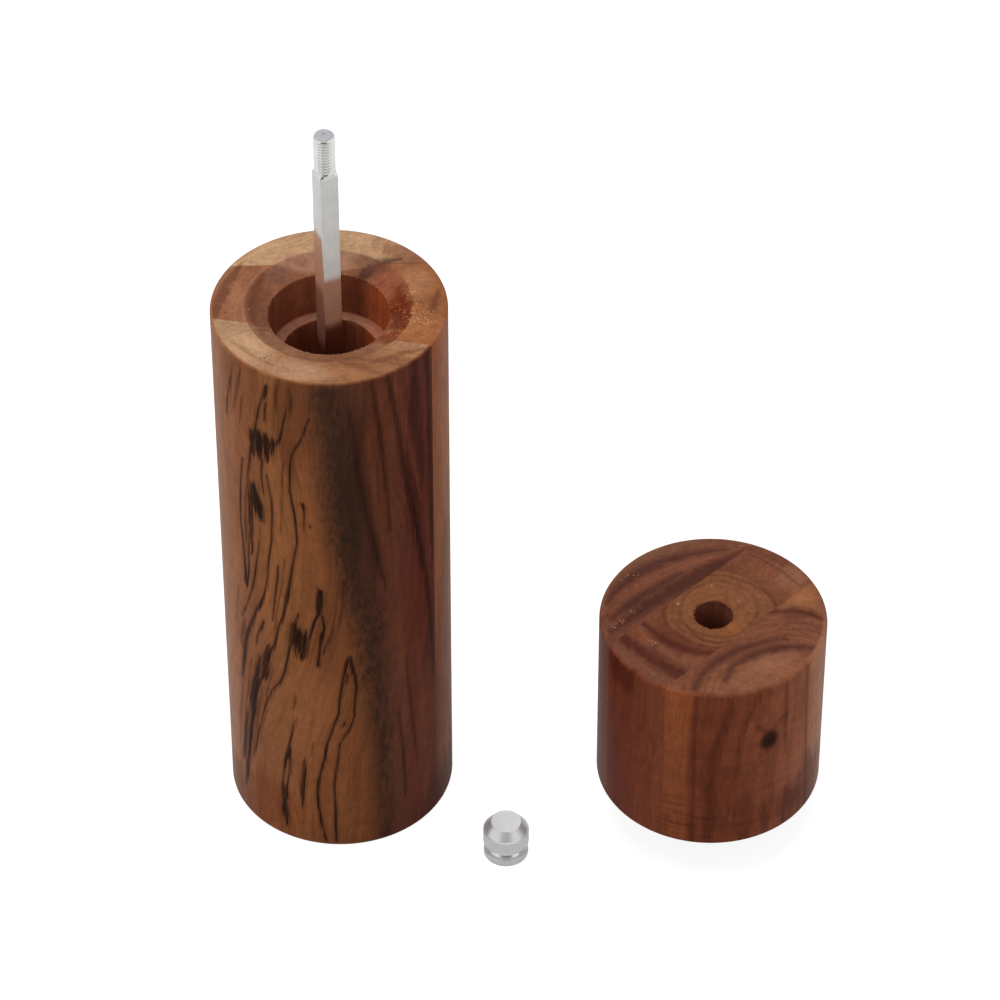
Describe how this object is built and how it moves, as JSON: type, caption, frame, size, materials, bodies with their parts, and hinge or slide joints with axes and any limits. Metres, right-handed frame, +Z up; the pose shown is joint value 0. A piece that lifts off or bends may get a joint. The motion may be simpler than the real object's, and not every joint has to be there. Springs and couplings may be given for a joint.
{
  "type": "pepper grinder",
  "caption": "Cylindrical laminated-wood pepper grinder opened for filling, with square drive shaft, lifted-off head, threaded knob and adjustable steel burr set.",
  "frame": {"origin": "on the table, midway between the axes of the body and the head, which is the middle of the layout's footprint", "axes": "+Z up along the body's, the shaft's and the head's axes; +X from the body towards the head; -Y towards the front, where the knob stands"},
  "size_m": [0.1458, 0.0658, 0.2031],
  "materials": {
    "body_front_wood": "oiled, satin",
    "body_middle_wood": "oiled, satin",
    "body_back_wood": "oiled, satin",
    "stator_iron": "machined, oiled",
    "bridge_steel": "pressed sheet, zinc plated",
    "bar_steel": "rolled strip, zinc plated",
    "bar_screw_steel": "plated screws",
    "seat_steel": "plated washer",
    "spring_steel": "drawn spring wire",
    "shaft_aluminium": "satin extruded bar",
    "rotor_iron": "machined, oiled",
    "rotor_washer_steel": "plated washer",
    "rotor_screw_steel": "plated screw",
    "head_back_wood": "oiled, satin",
    "head_middle_wood": "oiled, satin",
    "head_front_wood": "oiled, satin",
    "plate_steel": "stamped plate",
    "plate_screw_steel": "plated screws",
    "knob_metal": "turned, bright neck and knurled band"
  },
  "bodies": {
    "mill_body": {"body_front_board": "body_front_wood", "body_middle_board": "body_middle_wood", "body_back_board": "body_back_wood", "stator_ring": "stator_iron", "guide_bridge": "bridge_steel", "retaining_bar": "bar_steel", "retaining_bar_screws": "bar_screw_steel"},
    "spring_seat": {"spring_seat_washer": "seat_steel", "spring": "spring_steel"},
    "shaft_and_rotor": {"drive_shaft": "shaft_aluminium", "rotor": "rotor_iron", "rotor_washer": "rotor_washer_steel", "rotor_screw": "rotor_screw_steel"},
    "head": {"head_back_board": "head_back_wood", "head_middle_board": "head_middle_wood", "head_front_board": "head_front_wood", "drive_plate": "plate_steel", "drive_plate_screws": "plate_screw_steel"},
    "knob": {"knob": "knob_metal"}
  },
  "joints": [
    {"name": "shaft_rise", "type": "slide", "parent": "mill_body", "child": "spring_seat", "axis": [0, 0, 1], "range_m": [0, 0.0065], "stiffness_N_per_m": 400, "springref_m": -0.006, "deforming": ["spring"]},
    {"name": "shaft_turn", "type": "hinge", "parent": "spring_seat", "child": "shaft_and_rotor", "pos_m": [-0.0454, 0.0054, 0.016], "axis": [0, 0, 1], "continuous": true},
    {"name": "head_lift", "type": "slide", "parent": "mill_body", "child": "head", "axis": [0, 0, 1], "range_m": [0, 0.225]},
    {"name": "knob_lift", "type": "slide", "parent": "mill_body", "child": "knob", "axis": [0, 0, 1], "range_m": [0, 0.225]}
  ]
}
